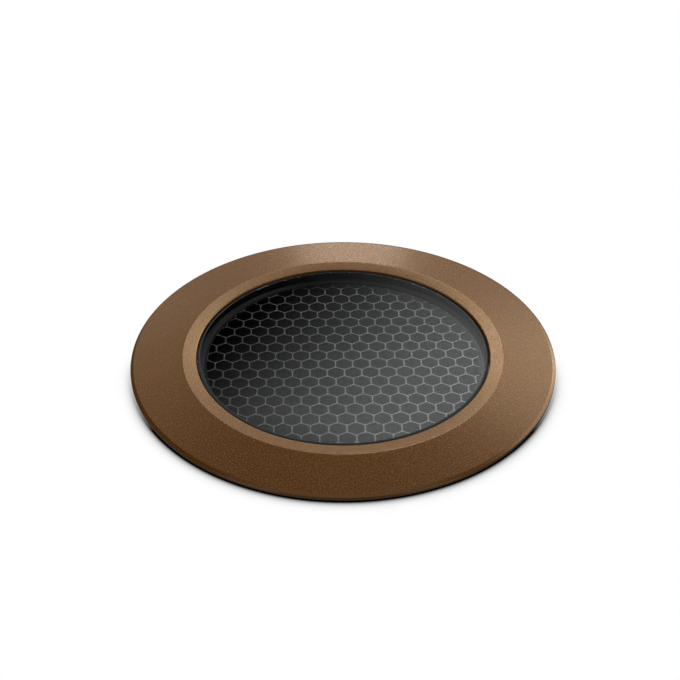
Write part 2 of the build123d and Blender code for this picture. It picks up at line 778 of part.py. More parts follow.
# Terminal block for the supply conductors
terminal_step = terminal_length / terminal_ways
with BuildPart() as terminal_block:
    with BuildSketch(Plane.XY.offset(driver_board_top)):
        with Locations((0, terminal_y)):
            Rectangle(terminal_length, terminal_width)
    extrude(amount=terminal_height)
    with BuildSketch(Plane.XY.offset(driver_board_top + terminal_height)):
        with Locations((0, terminal_y)):
            with GridLocations(terminal_step, terminal_width, terminal_ways, 1):
                Circle(terminal_screw_radius)
    extrude(amount=-terminal_screw_depth, mode=Mode.SUBTRACT)
    with BuildSketch(Plane.XZ.offset(-terminal_y + terminal_width / 2)):
        with Locations((0, driver_board_top + terminal_height / 2 - terminal_screw_radius)):
            with GridLocations(terminal_step, terminal_height, terminal_ways, 1):
                Rectangle(terminal_mouth, terminal_mouth)
    extrude(amount=-terminal_width / 2, mode=Mode.SUBTRACT)
terminal_block.part.label = "terminal_block"
export_step(terminal_block.part, "parts/terminal_block.step")

# Flat gasket between the housing and the base cover
with BuildPart() as base_gasket:
    with BuildSketch(Plane.XY.offset(cover_top)):
        Circle(base_cover_radius)
        Circle(base_cover_radius - base_gasket_width, mode=Mode.SUBTRACT)
        with PolarLocations(boss_circle, base_screw_count, start_angle=base_screw_angle):
            Circle(boss_radius)
        with PolarLocations(boss_circle, base_screw_count, start_angle=base_screw_angle):
            Circle(base_screw_radius + hole_clearance, mode=Mode.SUBTRACT)
    extrude(amount=base_gasket_thickness)
base_gasket.part.label = "base_gasket"
export_step(base_gasket.part, "parts/base_gasket.step")

# Base cover with sunk screw holes and the gland hole
sunk_head_depth = base_head_height + hole_clearance
with BuildPart() as base_cover:
    with BuildSketch(Plane.XY.offset(cover_bottom)):
        Circle(base_cover_radius)
        Circle(gland_thread_radius + hole_clearance, mode=Mode.SUBTRACT)
        with PolarLocations(boss_circle, base_screw_count, start_angle=base_screw_angle):
            Circle(base_screw_radius + hole_clearance, mode=Mode.SUBTRACT)
    extrude(amount=base_cover_thickness)
    with BuildSketch(Plane.XY.offset(cover_bottom)):
        with PolarLocations(boss_circle, base_screw_count, start_angle=base_screw_angle):
            Circle(base_head_radius + hole_clearance)
    extrude(amount=sunk_head_depth, mode=Mode.SUBTRACT)
base_cover.part.label = "base_cover"
export_step(base_cover.part, "parts/base_cover.step")

# Socket screws that hold the base cover to the housing bosses
head_seat = cover_bottom + sunk_head_depth
base_screw_length = housing_bottom - head_seat + boss_height / 2
with BuildPart() as base_screws:
    with BuildSketch(Plane.XY.offset(head_seat)):
        with PolarLocations(boss_circle, base_screw_count, start_angle=base_screw_angle):
            Circle(base_head_radius)
    extrude(amount=-base_head_height)
    with BuildSketch(Plane.XY.offset(head_seat)):
        with PolarLocations(boss_circle, base_screw_count, start_angle=base_screw_angle):
            Circle(base_screw_radius)
    extrude(amount=base_screw_length)
    with BuildSketch(Plane.XY.offset(head_seat - base_head_height)):
        with PolarLocations(boss_circle, base_screw_count, start_angle=base_screw_angle):
            RegularPolygon(base_head_radius * hex_socket_share, 6)
    extrude(amount=base_head_height / 2, mode=Mode.SUBTRACT)
base_screws.part.label = "base_screws"
export_step(base_screws.part, "parts/base_screws.step")

# Cable gland body: a threaded stub through the cover, a hexagon and a tail for the cap nut
o_ring_inner = gland_thread_radius + gland_o_ring_gap
o_ring_outer = o_ring_inner + gland_o_ring_width
with BuildPart() as gland_body:
    with BuildSketch(Plane.XY.offset(gland_hex_bottom)):
        RegularPolygon(gland_hex_flats / 2, 6, major_radius=False)
    extrude(amount=gland_hex_height)
    with BuildSketch(Plane.XY.offset(cover_bottom)):
        Circle(o_ring_outer + gland_o_ring_gap)
        Circle(gland_thread_radius, mode=Mode.SUBTRACT)
    extrude(amount=-gland_o_ring_height, mode=Mode.SUBTRACT)
    with BuildSketch(Plane.XY.offset(cover_bottom)):
        Circle(gland_thread_radius)
    extrude(amount=gland_top - cover_bottom)
    with BuildSketch(Plane.XY.offset(gland_hex_bottom)):
        Circle(gland_tail_radius)
    extrude(amount=-gland_tail_length)
    with BuildSketch(Plane.XY.offset(gland_tail_bottom)):
        Circle(gland_way_radius)
    extrude(amount=gland_top - gland_tail_bottom, mode=Mode.SUBTRACT)
    with BuildSketch(Plane.XY.offset(gland_tail_bottom)):
        Circle(seal_radius + screw_clearance)
    extrude(amount=seal_top - gland_tail_bottom, mode=Mode.SUBTRACT)
gland_body.part.label = "gland_body"
export_step(gland_body.part, "parts/gland_body.step")

# Sealing ring between the gland and the cover
with BuildPart() as gland_o_ring:
    with BuildSketch(Plane.XY.offset(cover_bottom - gland_o_ring_height)):
        Circle(o_ring_outer)
        Circle(o_ring_inner, mode=Mode.SUBTRACT)
    extrude(amount=gland_o_ring_height)
gland_o_ring.part.label = "gland_o_ring"
export_step(gland_o_ring.part, "parts/gland_o_ring.step")

# Locknut on the gland's stub, inside the base
with BuildPart() as gland_locknut:
    with BuildSketch(Plane.XY.offset(cover_top)):
        RegularPolygon(gland_hex_flats / 2, 6, major_radius=False)
        Circle(gland_thread_radius + screw_clearance, mode=Mode.SUBTRACT)
    extrude(amount=locknut_height)
gland_locknut.part.label = "gland_locknut"
export_step(gland_locknut.part, "parts/gland_locknut.step")

# Rubber seal that grips the cable
with BuildPart() as gland_seal:
    with BuildSketch(Plane.XY.offset(gland_tail_bottom)):
        Circle(seal_radius)
        Circle(cable_radius, mode=Mode.SUBTRACT)
    extrude(amount=seal_top - gland_tail_bottom)
gland_seal.part.label = "gland_seal"
export_step(gland_seal.part, "parts/gland_seal.step")

# Cap nut that squeezes the seal
with BuildPart() as gland_cap_nut:
    with BuildSketch(Plane.XY.offset(cap_bottom)):
        RegularPolygon(gland_hex_flats / 2, 6, major_radius=False)
        Circle(cable_radius + cap_hole_gap, mode=Mode.SUBTRACT)
    extrude(amount=cap_top - cap_bottom)
    with BuildSketch(Plane.XY.offset(cap_seat)):
        Circle(gland_tail_radius + screw_clearance)
    extrude(amount=cap_top - cap_seat, mode=Mode.SUBTRACT)
gland_cap_nut.part.label = "gland_cap_nut"
export_step(gland_cap_nut.part, "parts/gland_cap_nut.step")
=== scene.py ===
"""Looks for a recessed in-ground light: bronze trim, flush glass, honeycomb louver and a buried can."""

import math

import bmesh
import bpy
from bpy.props import FloatProperty, FloatVectorProperty, IntProperty, PointerProperty
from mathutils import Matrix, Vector


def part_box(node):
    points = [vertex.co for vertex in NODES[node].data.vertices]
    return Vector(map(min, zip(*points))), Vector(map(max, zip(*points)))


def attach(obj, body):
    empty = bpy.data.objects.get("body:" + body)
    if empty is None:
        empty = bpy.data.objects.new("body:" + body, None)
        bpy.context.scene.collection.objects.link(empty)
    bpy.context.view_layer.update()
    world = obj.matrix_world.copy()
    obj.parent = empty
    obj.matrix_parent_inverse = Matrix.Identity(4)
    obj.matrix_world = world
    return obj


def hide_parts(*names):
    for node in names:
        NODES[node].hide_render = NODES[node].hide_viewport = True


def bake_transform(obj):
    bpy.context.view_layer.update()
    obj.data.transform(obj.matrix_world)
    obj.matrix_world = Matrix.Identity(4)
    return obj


bl_info = {
    "name": "Recessed ground light",
    "version": (1, 0, 0),
    "blender": (4, 5, 0),
    "location": "3D View > Sidebar > Ground light",
    "description": "Models and finishes a recessed ground light around its fixed frame",
    "category": "Object",
}

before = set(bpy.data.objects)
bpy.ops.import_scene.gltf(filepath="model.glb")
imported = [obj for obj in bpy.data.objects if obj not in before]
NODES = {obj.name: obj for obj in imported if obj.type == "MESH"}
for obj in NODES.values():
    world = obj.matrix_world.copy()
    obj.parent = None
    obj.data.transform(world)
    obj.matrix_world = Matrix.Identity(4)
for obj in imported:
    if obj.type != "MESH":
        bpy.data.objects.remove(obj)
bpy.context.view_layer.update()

MM = 0.001
DEGREES = 180 / math.pi
SMOOTH_ANGLE = math.radians(30)
GLASS_ANGLE = math.radians(10)
WHITE = (1, 1, 1, 1)
BLACK = (0, 0, 0, 1)

# Input and output places of Blender's Mix node when it mixes colours
MIX_FACTOR = 0
MIX_FIRST = 6
MIX_SECOND = 7
MIX_RESULT = 2

# Soft edges of the dome's glows: the measure that fades, where it starts and where the glow is full.
# Swing and rise are in degrees; around is the square of swing, and upright falls to -1 at each strip.
HORIZON_EDGES = (("rise", 33.5, 26.0), ("swing", -34.0, -22.0))
LEFT_EDGES = (("swing", -11.0, -18.0), ("rise", 52.0, 40.0), ("swing", -42.0, -30.0), ("rise", 14.0, 24.0))
RIGHT_EDGES = (("swing", 19.0, 28.0), ("rise", 34.0, 28.0), ("rise", 10.0, 16.0), ("swing", 44.0, 37.0))
FOOT_EDGES = (("rise", 20.0, 32.0),)
AHEAD_EDGES = (("around", 85.0 ** 2, 55.0 ** 2),)
SIDE_EDGES = (("around", 150.0 ** 2, 120.0 ** 2), ("rise", 45.0, 30.0))
ZENITH_EDGES = (("rise", 60.0, 72.0),)
STRIP_EDGES = (("upright", -0.3, -0.95), ("rise", -31.0, -25.0))
GROUND_EDGES = (("rise", -3.0, 1.0),)
STRIP_COUNT = 4.0

# Softboxes: power in watts, swing from straight behind and rise from level in degrees, distance to the
# flange and width and height of the face in metres, whether gloss shows it, and the one piece it lights
RING_SOFTBOX = {"rise": 37.0, "distance": 1.0, "face": (0.07, 0.07), "gloss": True, "lit": "bronze_trim"}
SOFTBOXES = {
    "low_softbox": {
        "energy": 0.0475, "swing": 0.9, "rise": 19.0, "distance": 0.6, "face": (0.11, 0.07), "gloss": True,
    },
    "right_ring_softbox": {"energy": 0.048, "swing": 3.1, **RING_SOFTBOX},
    "left_ring_softbox": {"energy": 0.02496, "swing": -3.1, **RING_SOFTBOX},
    "top_softbox": {
        "energy": 10.0, "swing": 0.0, "rise": 62.0, "distance": 1.0, "face": (0.7, 0.7), "gloss": False,
    },
}


# Shader sums

def sums(operation):
    """A socket's operator and its reflected form."""

    def forward(self, other):
        return self.sum(operation, self, other)

    def reflected(self, other):
        return self.sum(operation, other, self)

    return forward, reflected


class Wire:
    """A shader socket that takes part in Python sums."""

    def __init__(self, sheet, socket):
        self.sheet = sheet
        self.socket = socket

    def sum(self, operation, first, second):
        return self.sheet.node("ShaderNodeMath", {"operation": operation}, {0: first, 1: second})

    __add__, __radd__ = sums("ADD")
    __sub__, __rsub__ = sums("SUBTRACT")
    __mul__, __rmul__ = sums("MULTIPLY")
    __truediv__, __rtruediv__ = sums("DIVIDE")
    __pow__, __rpow__ = sums("POWER")
    __gt__, __lt__ = sums("GREATER_THAN")


class Sheet:
    """The nodes of one finish."""

    def __init__(self, tree):
        self.tree = tree
        tree.nodes.clear()

    def node(self, kind, settings=None, sockets=None, output=0):
        """Adds a node, sets it up, fills its sockets and returns one of its outputs."""
        made = self.tree.nodes.new(kind)
        for name, value in (settings or {}).items():
            setattr(made, name, value)
        for name, value in (sockets or {}).items():
            if isinstance(value, Wire):
                self.tree.links.new(value.socket, made.inputs[name])
            else:
                made.inputs[name].default_value = value
        return Wire(self, made.outputs[output]) if made.outputs else None


def solid(colour):
    return (*colour, 1.0)


def toned(colour, factor):
    """A colour made lighter or darker."""
    return [factor * part for part in colour]


def place_of(sheet):
    return sheet.node("ShaderNodeTexCoord", output="Object")


def axis_of(sheet, at, axis):
    return sheet.node("ShaderNodeSeparateXYZ", sockets={0: at}, output=axis)


def along(sheet, at, direction):
    """How far a place lies along a direction."""
    settings = {"operation": "DOT_PRODUCT"}
    return sheet.node("ShaderNodeVectorMath", settings, {0: at, 1: direction}, "Value")


def radius_of(sheet, at):
    """Distance from the Z axis."""
    x = axis_of(sheet, at, "X")
    y = axis_of(sheet, at, "Y")
    return (x * x + y * y) ** 0.5


def noise(sheet, at, size, detail=2.0, roughness=0.5):
    """Cloudy noise whose features are about size metres across."""
    sockets = {"Vector": at, "Scale": 1 / size, "Detail": detail, "Roughness": roughness}
    return sheet.node("ShaderNodeTexNoise", sockets=sockets, output="Fac")


def share(sheet, value, low, high, ease="LINEAR"):
    """0 at low, 1 at high, held at both ends."""
    settings = {"clamp": True, "interpolation_type": ease}
    sockets = {"Value": value, "From Min": low, "From Max": high}
    return sheet.node("ShaderNodeMapRange", settings, sockets)


def faded(sheet, strength, measures, edges):
    """A strength that falls to nothing across each of its soft edges."""
    for name, start, full in edges:
        strength = strength * share(sheet, measures[name], start, full)
    return strength


def mixed(sheet, factor, first, second):
    sockets = {MIX_FACTOR: factor, MIX_FIRST: first, MIX_SECOND: second}
    return sheet.node("ShaderNodeMix", {"data_type": "RGBA"}, sockets, MIX_RESULT)


def bumped(sheet, height, depth, strength):
    """Normals of a surface whose height runs from 0 to 1 over depth metres."""
    sockets = {"Strength": strength, "Distance": depth, "Height": height}
    return sheet.node("ShaderNodeBump", sockets=sockets)


def seen_rays(sheet):
    """1 for rays of the camera, of gloss and through glass."""
    camera = sheet.node("ShaderNodeLightPath", output="Is Camera Ray")
    gloss = sheet.node("ShaderNodeLightPath", output="Is Glossy Ray")
    through = sheet.node("ShaderNodeLightPath", output="Is Transmission Ray")
    return share(sheet, camera + gloss + through, 0.0, 1.0)


def finished(name, build, **values):
    """Makes a material whose shader sockets come from build(sheet, **values)."""
    material = bpy.data.materials.new(name)
    material.use_nodes = True
    sheet = Sheet(material.node_tree)
    shader = sheet.node("ShaderNodeBsdfPrincipled", sockets=build(sheet, **values))
    sheet.node("ShaderNodeOutputMaterial", sockets={"Surface": shader})
    return material


# Finishes

def bronze_coat(sheet, dark, light, ring, sheen, crest, grain, roughness):
    """Bronze powder coat: fine leathery grain with glossy crowns, and an inner ring lightened with painted
    sheen, glossier and without coat.
    """
    at = place_of(sheet)
    pebble = noise(sheet, at, grain, detail=1.0)
    cloud = noise(sheet, at, 14 * grain, detail=3.0, roughness=0.55)
    tone = share(sheet, 0.8 * pebble + 0.2 * cloud, 0.36, 0.64)
    crowns = share(sheet, pebble, 0.5, 0.66)
    coat = mixed(sheet, tone, solid(dark), solid(light))
    # Mask of the inner ring: its lighter base colour is painted sheen; its lower roughness and missing coat
    # are real.
    painted_sheen_ring = share(sheet, radius_of(sheet, at), crest + 0.1 * MM, crest - 0.1 * MM)
    shade = mixed(sheet, (0.8 + 0.2 * tone) * painted_sheen_ring, coat, solid(ring))
    return {
        "Base Color": shade,
        "Roughness": roughness - 0.07 * painted_sheen_ring + 0.04 * (tone - 0.5),
        "IOR": 3.0,
        "Specular Tint": solid(sheen),
        "Coat Weight": 0.7 * crowns * (1.0 - painted_sheen_ring),
        "Coat Roughness": 0.12,
        "Normal": bumped(sheet, pebble, depth=0.1 * grain, strength=0.06),
    }


def cast_coat(sheet, dark, light, grain, roughness):
    """Powder coat over a casting: orange peel with dust in the grain."""
    at = place_of(sheet)
    peel = noise(sheet, at, grain)
    cloud = noise(sheet, at, 40 * grain, detail=4.0, roughness=0.6)
    dust = share(sheet, 0.6 * cloud + 0.4 * peel, 0.42, 0.72)
    return {
        "Base Color": mixed(sheet, dust, solid(dark), solid(light)),
        "Roughness": roughness + 0.2 * (cloud - 0.5) + 0.1 * (peel - 0.5),
        "Normal": bumped(sheet, peel, depth=0.1 * grain, strength=0.4),
    }


def moulded(sheet, colour, accent, grain, roughness):
    """Moulded plastic or rubber: a matt skin with faint flow marks, accent times as light."""
    at = place_of(sheet)
    skin = noise(sheet, at, grain)
    flow = share(sheet, noise(sheet, at, 12 * grain), 0.35, 0.7)
    return {
        "Base Color": mixed(sheet, flow, solid(colour), solid(toned(colour, accent))),
        "Roughness": roughness + 0.14 * (skin - 0.5),
        "Normal": bumped(sheet, skin, depth=0.06 * grain, strength=0.35),
    }


def turned_metal(sheet, colour, accent, line, roughness):
    """Bare metal with lathe lines round the lamp's axis and faint stains, accent times as light."""
    at = place_of(sheet)
    rings = noise(sheet, radius_of(sheet, at), line, roughness=0.6)
    stain = share(sheet, noise(sheet, at, 20 * line, detail=3.0, roughness=0.6), 0.4, 0.75)
    return {
        "Base Color": mixed(sheet, stain, solid(colour), solid(toned(colour, accent))),
        "Metallic": 1.0,
        "Roughness": roughness + 0.2 * (rings - 0.5),
        "Normal": bumped(sheet, rings, depth=0.08 * line, strength=0.3),
    }


def bright_metal(sheet, colour, accent, grain, roughness):
    """Plated or tumbled metal: even, with fine scuffs, accent times as light."""
    at = place_of(sheet)
    scuff = noise(sheet, at, grain, detail=4.0, roughness=0.65)
    scuffed = share(sheet, scuff, 0.4, 0.75)
    return {
        "Base Color": mixed(sheet, scuffed, solid(colour), solid(toned(colour, accent))),
        "Metallic": 1.0,
        "Roughness": roughness + 0.25 * (scuff - 0.5),
        "Normal": bumped(sheet, scuff, depth=0.05 * grain, strength=0.25),
    }


def honeycomb_foil(sheet, wall, edge, top, reach):
    """Black foil whose cut top edge shows lighter metal inside the rim."""
    at = place_of(sheet)
    smear = noise(sheet, at, 1.1 * MM, roughness=0.6)
    broad = noise(sheet, at, 9 * MM)
    cut = (axis_of(sheet, at, "Z") > top - 0.05 * MM) * (radius_of(sheet, at) < reach)
    worn = share(sheet, 0.7 * smear + 0.3 * broad, 0.25, 0.75)
    bare = mixed(sheet, worn, solid(toned(edge, 0.65)), solid(edge))
    return {
        "Base Color": mixed(sheet, cut, solid(wall), bare),
        "Metallic": cut * 0.92,
        "Roughness": 0.55 - 0.34 * cut + 0.16 * (smear - 0.5),
        "Coat Weight": cut * 0.7,
        "Normal": bumped(sheet, smear, depth=0.05 * MM, strength=0.4),
    }


def clear_glass(sheet, tint, roughness):
    """Clear glass or plastic, polished or faintly frosted."""
    return {
        "Base Color": solid(tint),
        "Roughness": roughness,
        "IOR": 1.5,
        "Transmission Weight": 1.0,
    }


def ground_glass(sheet, tint, grain):
    """Glass left matt by the grinding wheel."""
    at = place_of(sheet)
    scratch = noise(sheet, at, grain, detail=3.0, roughness=0.6)
    return {
        "Base Color": mixed(sheet, scratch, solid(toned(tint, 0.85)), solid(tint)),
        "Roughness": 0.5 + 0.2 * (scratch - 0.5),
        "Normal": bumped(sheet, scratch, depth=0.05 * grain, strength=0.4),
    }


def board_mask(sheet, colour, trace, pitch):
    """Circuit board: solder mask over straight copper runs."""
    at = place_of(sheet)
    sockets = {"Vector": at, "Scale": 1 / pitch, "Mortar Size": 0.04, "Brick Width": 1.7, "Row Height": 0.4}
    runs = sheet.node("ShaderNodeTexBrick", sockets=sockets, output="Fac")
    speck = noise(sheet, at, 0.4 * MM)
    return {
        "Base Color": mixed(sheet, runs, solid(colour), solid(trace)),
        "Roughness": 0.35 + 0.2 * (speck - 0.5),
        "Normal": bumped(sheet, runs, depth=0.04 * MM, strength=0.5),
    }


def phosphor(sheet, colour, ring, radius):
    """Unlit light source: a soft yellow gel disc in a paler dam."""
    at = place_of(sheet)
    dam = radius_of(sheet, at) > radius
    gel = noise(sheet, at, 0.5 * MM)
    return {
        "Base Color": mixed(sheet, dam, solid(colour), solid(ring)),
        "Roughness": 0.45 + 0.2 * (gel - 0.5),
        "Coat Weight": 0.4,
        "Normal": bumped(sheet, gel, depth=0.05 * MM, strength=0.3),
    }


# Modelling by hand

def clear_selection():
    if bpy.context.mode != "OBJECT":
        bpy.ops.object.mode_set(mode="OBJECT")
    bpy.ops.object.select_all(action="DESELECT")


def start_circle(name, radius, height, segments):
    """A bare circle round Z, open for editing with all of it selected."""
    clear_selection()
    bpy.ops.mesh.primitive_circle_add(vertices=segments, radius=radius, location=(0, 0, height))
    piece = bpy.context.object
    piece.name = name
    piece.data.name = name
    bpy.ops.object.transform_apply(location=True, rotation=True, scale=True)
    bpy.ops.object.mode_set(mode="EDIT")
    bpy.ops.mesh.select_mode(type="EDGE")
    bpy.ops.mesh.select_all(action="SELECT")
    return piece


def draw_along(section):
    """Extrudes the selected circle from the section's first point through the rest of them."""
    for (radius, height), (next_radius, next_height) in zip(section, section[1:]):
        bpy.ops.mesh.extrude_region_move(TRANSFORM_OT_translate={"value": (0, 0, next_height - height)})
        growth = next_radius / radius
        bpy.ops.transform.resize(value=(growth, growth, 1), center_override=(0, 0, next_height))


def select_rings(piece, *rings):
    """Selects the edges that lie on (radius, height) rings round Z."""
    bpy.ops.mesh.select_mode(type="EDGE")
    bpy.ops.mesh.select_all(action="DESELECT")
    mesh = bmesh.from_edit_mesh(piece.data)
    near = 0.02 * MM
    for edge in mesh.edges:
        for radius, height in rings:
            ends = [(math.hypot(end.co.x, end.co.y), end.co.z) for end in edge.verts]
            if all(abs(r - radius) < near and abs(z - height) < near for r, z in ends):
                edge.select_set(True)
    bmesh.update_edit_mesh(piece.data)


def round_rings(piece, width, segments, *rings):
    """Bevels the (radius, height) rings of a turned piece."""
    select_rings(piece, *rings)
    bpy.ops.mesh.bevel(offset=width, offset_type="OFFSET", segments=segments, affect="EDGES", profile=0.5)


def close_piece(piece, angle=SMOOTH_ANGLE):
    """Leaves edit mode with outward faces and smooth shading that keeps the broad faces flat."""
    bpy.ops.mesh.select_all(action="SELECT")
    bpy.ops.mesh.remove_doubles(threshold=0.001 * MM)
    bpy.ops.mesh.normals_make_consistent(inside=False)
    bpy.ops.object.mode_set(mode="OBJECT")
    bpy.ops.object.shade_smooth_by_angle(angle=angle)
    flats = piece.modifiers.new("flats", "WEIGHTED_NORMAL")
    flats.keep_sharp = True
    bpy.ops.object.modifier_apply(modifier=flats.name)
    return piece


def turned_ring(name, section, segments):
    """A ring turned from a closed section of (radius, height) points, left open for editing."""
    piece = start_circle(name, *section[0], segments)
    draw_along(section)
    select_rings(piece, section[0], section[-1])
    bpy.ops.mesh.bridge_edge_loops()
    return piece


def turned_plug(name, section, segments):
    """A solid of revolution, filled at both ends and left open for editing."""
    piece = start_circle(name, *section[0], segments)
    draw_along(section)
    for ring in (section[0], section[-1]):
        select_rings(piece, ring)
        bpy.ops.mesh.edge_face_add()
    return piece


def repeat(times, step):
    """Repeats the active piece in even steps."""
    rows = bpy.context.object.modifiers.new("rows", "ARRAY")
    rows.use_relative_offset = False
    rows.use_constant_offset = True
    rows.constant_offset_displace = step
    rows.count = times
    bpy.ops.object.modifier_apply(modifier=rows.name)


def cut_with(piece, tool, operation):
    """Cuts a piece with a tool, which is used up, and leaves the piece selected alone."""
    clear_selection()
    piece.select_set(True)
    bpy.context.view_layer.objects.active = piece
    cut = piece.modifiers.new("cut", "BOOLEAN")
    cut.operation = operation
    cut.solver = "MANIFOLD"
    cut.object = tool
    bpy.ops.object.modifier_apply(modifier=cut.name)
    bpy.data.objects.remove(tool)


def stand_in(piece, material, node):
    """Gives a modelled piece its finish and puts it in place of its CAD node."""
    piece.data.materials.clear()
    piece.data.materials.append(material)
    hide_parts(node)


def dress(name, build, *nodes, **values):
    """Gives CAD nodes a finish."""
    material = finished(name, build, **values)
    for node in nodes:
        for slot in NODES[node].material_slots:
            slot.material = material


def light_only(lamp, piece):
    """Lets a lamp light one piece alone."""
    lit = bpy.data.collections.new(lamp.name + "_lit")
    lit.objects.link(bpy.data.objects[piece])
    lamp.light_linking.receiver_collection = lit


# Sizes and colours

def length(label, note, value):
    return FloatProperty(name=label, description=note, default=value, unit="LENGTH", subtype="DISTANCE")


def angle(label, note, degrees):
    return FloatProperty(name=label, description=note, default=math.radians(degrees), subtype="ANGLE")


def number(label, note, value):
    return FloatProperty(name=label, description=note, default=value)


def count(label, note, value):
    return IntProperty(name=label, description=note, default=value, min=3)


def colour(label, note, value):
    return FloatVectorProperty(
        name=label, description=note, default=value, size=3, subtype="COLOR", min=0.0, max=1.0
    )


class TrimSettings(bpy.types.PropertyGroup):
    segments: count("Segments", "Facets round the trim ring", 320)
    flange_radius: length("Flange radius", "Outer radius of the flange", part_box("trim_ring")[1].x)
    flange_edge: length("Flange edge", "Thickness of the flange at its rim", 1.3 * MM)
    crest_radius: length("Crest radius", "Radius where the cone meets the inner ring", 45.5 * MM)
    crest_height: length("Crest height", "Top of the trim ring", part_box("trim_ring")[1].z)
    aperture_radius: length("Aperture radius", "Opening round the glass", 41.5 * MM)
    aperture_height: length("Aperture height", "Inner ring's height at the opening", 2.3 * MM)
    lip_height: length("Lip height", "Underside of the lip over the glass rim", 0.6 * MM)
    pocket_radius: length("Pocket radius", "Pocket round the glass rim", 45.7 * MM)
    groove_radius: length("Groove radius", "Floor of the snap ring's groove", 46.5 * MM)
    groove_top: length("Groove top", "Upper side of the groove", -3.0 * MM)
    groove_bottom: length("Groove bottom", "Lower side of the groove", -3.8 * MM)
    shoulder: length("Shoulder", "Stop above the thread", -4.6 * MM)
    thread_bore: length("Thread bore", "Bore of the thread skirt", 48.1 * MM)
    skirt_radius: length("Skirt radius", "Outside of the thread skirt", 50.5 * MM)
    skirt_bottom: length("Skirt bottom", "Lower end of the skirt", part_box("trim_ring")[0].z)
    crest_round: length("Crest round", "Softening of the crest", 0.2 * MM)
    edge_break: length("Edge break", "Width of the chamfer round the outer rim", 0.9 * MM)
    edge_drop: length("Edge drop", "How far the chamfer lowers the outer rim", 0.3 * MM)
    edge_round: length("Edge round", "Softening of the chamfer", 0.12 * MM)
    aperture_round: length("Aperture round", "Softening of the opening", 0.3 * MM)
    foot_round: length("Foot round", "Softening of the lower edges", 0.3 * MM)
    dark: colour("Dark bronze", "Hollows of the bronze coat", (0.088, 0.0293, 0.0033))
    light: colour("Light bronze", "Crowns of the bronze coat", (0.093, 0.0322, 0.0042))
    # The inner ring's lighter colour is painted sheen.
    painted_sheen_ring: colour("Painted sheen bronze", "Lighter inner ring", (0.112, 0.049, 0.0155))
    sheen: colour("Bronze sheen", "Tint of the coat's metallic sheen", (1.0, 0.66, 0.38))
    grain: length("Grain", "Size of the coat's grain", 0.45 * MM)
    roughness: number("Roughness", "Mean roughness of the coat", 0.27)


class LensSettings(bpy.types.PropertyGroup):
    segments: count("Segments", "Facets round the glass", 256)
    rim_radius: length("Rim radius", "Radius of the clamped rim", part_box("lens")[1].x)
    boss_radius: length("Boss radius", "Radius of the raised face", 41.2 * MM)
    step_height: length("Step height", "Top of the clamped rim", -0.2 * MM)
    arris: length("Arris", "Width of the matt bevel round the face", 0.6 * MM)
    tint: colour("Glass tint", "Body colour of the glass", (0.93, 0.96, 0.965))
    ground: colour("Ground edge", "Colour of the matt bevel", (0.05, 0.052, 0.053))
    rubber: colour("Rubber", "Seals", (0.012, 0.012, 0.012))
    film: colour("Slip film", "Washer under the lip", (0.01, 0.01, 0.01))
    spring: colour("Spring steel", "Snap ring and circlip", (0.42, 0.41, 0.39))


class LouverSettings(bpy.types.PropertyGroup):
    segments: count("Segments", "Facets round the honeycomb", 192)
    rim: length("Rim", "Solid rim round the cells", 0.6 * MM)
    cell_width: length("Cell width", "Distance between cells in a row", 4.88 * MM)
    row_step: length("Row step", "Distance between rows of cells", 4.06 * MM)
    cell_wall: length("Cell wall", "Thickness of the walls between cells", 0.37 * MM)
    cell_corner: length("Cell corner", "How far the rounding of a cell's corners reaches", 0.42 * MM)
    shift_across: length("Shift across", "Place of the middle row's cells", 0.25 * MM)
    shift_along: length("Shift along", "Place of the middle row", 1.9 * MM)
    turn: angle("Turn", "Turn of the honeycomb in its frame", -58.4)
    wall: colour("Cell walls", "Black coat of the honeycomb", (0.01, 0.01, 0.0105))
    edge: colour("Cut edges", "Bare top edges of the honeycomb", (0.36, 0.36, 0.36))
    frame_dark: colour("Frame", "Louver frame", (0.03, 0.03, 0.031))
    frame_light: colour("Frame sheen", "Rubbed places of the louver frame", (0.036, 0.036, 0.037))


class HousingSettings(bpy.types.PropertyGroup):
    dark: colour("Casting", "Black coat of the can and its cover", (0.012, 0.012, 0.0125))
    light: colour("Casting dust", "Dusty places of the black coat", (0.034, 0.033, 0.032))
    grain: length("Grain", "Orange peel of the black coat", 0.7 * MM)
    roughness: number("Roughness", "Mean roughness of the black coat", 0.48)
    nylon: colour("Nylon", "Cable gland", (0.016, 0.016, 0.017))
    steel: colour("Steel", "Screws", (0.5, 0.49, 0.47))


class LampSettings(bpy.types.PropertyGroup):
    casting: colour("Ring casting", "Swivel ring", (0.16, 0.16, 0.165))
    aluminium: colour("Aluminium", "Heat sink", (0.62, 0.62, 0.63))
    bezel: colour("Bezel", "Lamp bezel", (0.02, 0.02, 0.02))
    board: colour("Light board", "Board under the light source", (0.7, 0.7, 0.68))
    phosphor: colour("Phosphor", "Light source", (0.72, 0.5, 0.06))
    mirror: colour("Reflector", "Bright reflector", (0.85, 0.85, 0.84))
    gel_share: number("Gel share", "Radius of the gel in that of the light source", 0.82)
    optic: colour("Optic", "Clear optic of the lamp", (0.97, 0.97, 0.96))
    lead_segments: count("Lead segments", "Facets round the lamp lead", 32)
    lead_radius: length("Lead radius", "Lamp lead on the swivel axis", 2.0 * MM)
    lead_steps: count("Lead steps", "Lengths that let the lead bend", 26)
    lead: colour("Lead", "Sheath of the lamp lead", (0.2, 0.2, 0.2))


class DriverSettings(bpy.types.PropertyGroup):
    mask: colour("Solder mask", "Driver board", (0.012, 0.09, 0.035))
    copper: colour("Copper runs", "Copper under the mask", (0.05, 0.2, 0.07))
    ferrite: colour("Ferrite", "Transformer and choke", (0.03, 0.03, 0.032))
    can: colour("Capacitor can", "Capacitors", (0.03, 0.035, 0.09))
    terminal: colour("Terminal block", "Terminals", (0.03, 0.22, 0.07))
    socket: colour("Socket", "Lead socket", (0.75, 0.74, 0.7))
    brass: colour("Brass", "Standoffs", (0.6, 0.42, 0.16))


